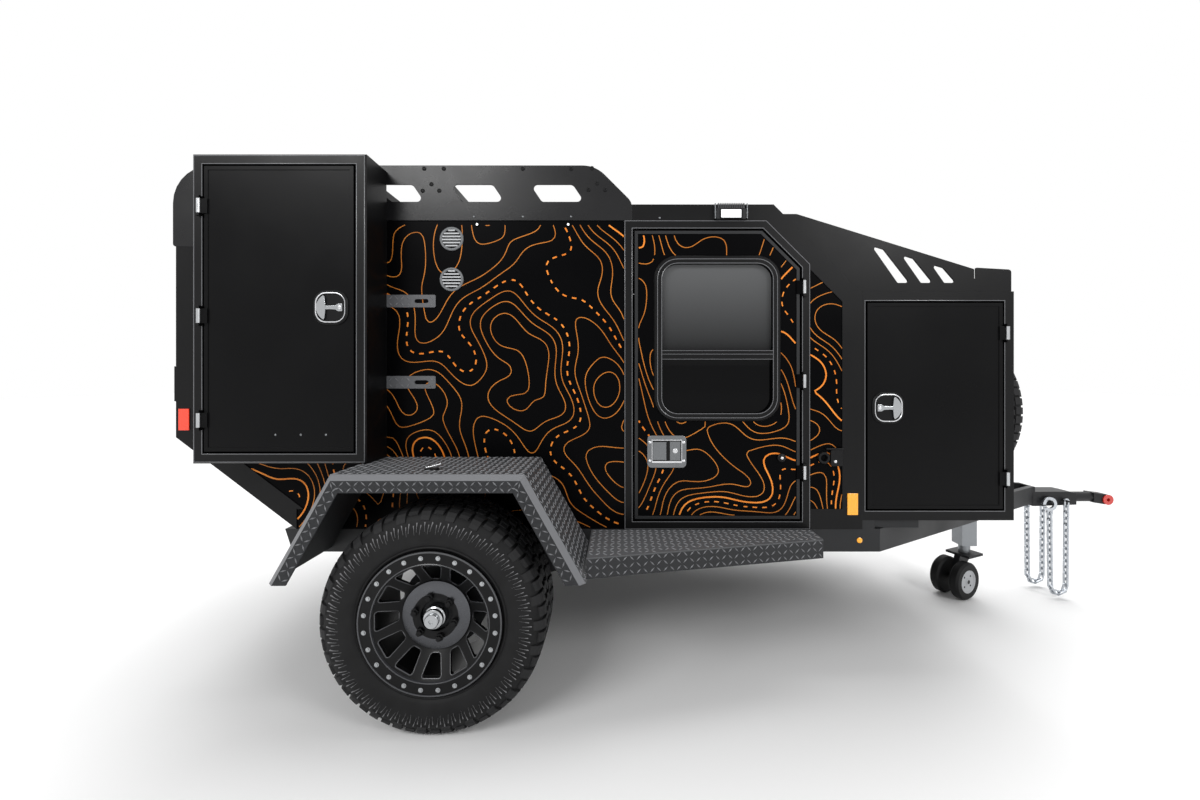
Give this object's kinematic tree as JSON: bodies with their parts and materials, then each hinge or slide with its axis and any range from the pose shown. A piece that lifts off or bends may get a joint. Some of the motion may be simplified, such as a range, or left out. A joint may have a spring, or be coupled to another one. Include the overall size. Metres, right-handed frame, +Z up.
{
  "type": "camper trailer",
  "caption": "Off-road squaredrop camper trailer with cabin doors, side and front storage boxes, roof rack, spare wheel and a castor jack.",
  "frame": {"origin": "on the ground, at the centre of the overall length and width", "axes": "+X towards the coupler, +Y to the trailer's left, +Z up"},
  "size_m": [4.512, 2.22, 2.05],
  "materials": {
    "panel": "satin",
    "trim": "satin",
    "frame": "satin",
    "checker": "textured",
    "zinc": "satin",
    "jack": "satin",
    "stainless": "satin",
    "rim": "satin",
    "hub": "rough",
    "tyre": "matte",
    "castor": "matte",
    "bushing": "satin",
    "glass": "polished",
    "markers": "gloss",
    "lamps": "gloss"
  },
  "bodies": {
    "trailer": {"chain_hooks": "zinc", "chassis_crossmembers": "frame", "chassis_rails": "frame", "coupler": "zinc", "coupler_bushing": "bushing", "door_frames": "trim", "drawbar_arms": "frame", "edge_trims": "trim", "fenders": "checker", "floor_panel": "panel", "front_box": "trim", "front_slope": "panel", "front_wall": "panel", "jack_leg": "zinc", "jack_plate": "frame", "jack_tube": "jack", "left_side_box": "trim", "left_wall": "panel", "marker_lamps": "markers", "rack_crossbars": "trim", "rack_plates": "trim", "right_side_box": "trim", "right_wall": "panel", "roof_panel": "panel", "safety_chains": "zinc", "spare_carrier": "trim", "spare_rim": "rim", "spare_tyre": "tyre", "steps": "checker", "tail_panel": "panel", "tongue": "frame", "trailing_arms": "frame", "wall_brackets": "frame", "wall_vents": "frame", "white_lamps": "lamps"},
    "right_wheel": {"right_tyre": "tyre", "right_rim": "rim", "right_hub": "hub"},
    "left_wheel": {"left_tyre": "tyre", "left_rim": "rim", "left_hub": "hub"},
    "rear_hatch": {"rear_hatch": "panel"},
    "castor_fork": {"jack_fork": "zinc"},
    "castor_wheels": {"jack_wheels": "castor"},
    "right_cabin_door": {"right_door": "panel", "right_door_window": "trim", "right_door_glass": "glass", "right_door_hardware": "stainless"},
    "right_side_box_door": {"right_side_box_door": "panel", "right_side_box_hardware": "stainless"},
    "right_front_box_door": {"right_front_box_door": "panel", "right_front_box_hardware": "stainless"},
    "left_cabin_door": {"left_door": "panel", "left_door_window": "trim", "left_door_glass": "glass", "left_door_hardware": "stainless"},
    "left_side_box_door": {"left_side_box_door": "panel", "left_side_box_hardware": "stainless"},
    "left_front_box_door": {"left_front_box_door": "panel", "left_front_box_hardware": "stainless"}
  },
  "joints": [
    {"name": "right_wheel_spin", "type": "hinge", "parent": "trailer", "child": "right_wheel", "pos_m": [-1.11, -0.948, 0.385], "axis": [0, 1, 0], "continuous": true},
    {"name": "right_cabin_door_hinge", "type": "hinge", "parent": "trailer", "child": "right_cabin_door", "pos_m": [0.256, -0.776, 1.2], "axis": [0, 0, 1], "range_deg": [0, 170]},
    {"name": "right_side_box_hinge", "type": "hinge", "parent": "trailer", "child": "right_side_box_door", "pos_m": [-2.012, -0.925, 1.45], "axis": [0, 0, -1], "range_deg": [0, 110]},
    {"name": "right_front_box_hinge", "type": "hinge", "parent": "trailer", "child": "right_front_box_door", "pos_m": [1.066, -0.77, 1.1], "axis": [0, 0, 1], "range_deg": [0, 110]},
    {"name": "left_wheel_spin", "type": "hinge", "parent": "trailer", "child": "left_wheel", "pos_m": [-1.11, 0.948, 0.385], "axis": [0, 1, 0], "continuous": true},
    {"name": "left_cabin_door_hinge", "type": "hinge", "parent": "trailer", "child": "left_cabin_door", "pos_m": [0.256, 0.776, 1.2], "axis": [0, 0, -1], "range_deg": [0, 170]},
    {"name": "left_side_box_hinge", "type": "hinge", "parent": "trailer", "child": "left_side_box_door", "pos_m": [-2.012, 0.925, 1.45], "axis": [0, 0, 1], "range_deg": [0, 110]},
    {"name": "left_front_box_hinge", "type": "hinge", "parent": "trailer", "child": "left_front_box_door", "pos_m": [1.066, 0.77, 1.1], "axis": [0, 0, -1], "range_deg": [0, 110]},
    {"name": "rear_hatch_hinge", "type": "hinge", "parent": "trailer", "child": "rear_hatch", "pos_m": [-2.251, 0, 1.86], "axis": [0, 1, 0], "range_deg": [0, 90]},
    {"name": "castor_swivel", "type": "hinge", "parent": "trailer", "child": "castor_fork", "pos_m": [1.455, 0, 0.2], "axis": [0, 0, 1], "continuous": true},
    {"name": "castor_spin", "type": "hinge", "parent": "castor_fork", "child": "castor_wheels", "pos_m": [1.37278, -0.03661, 0.1], "axis": [-0.4067, 0.9135, 0], "continuous": true}
  ]
}
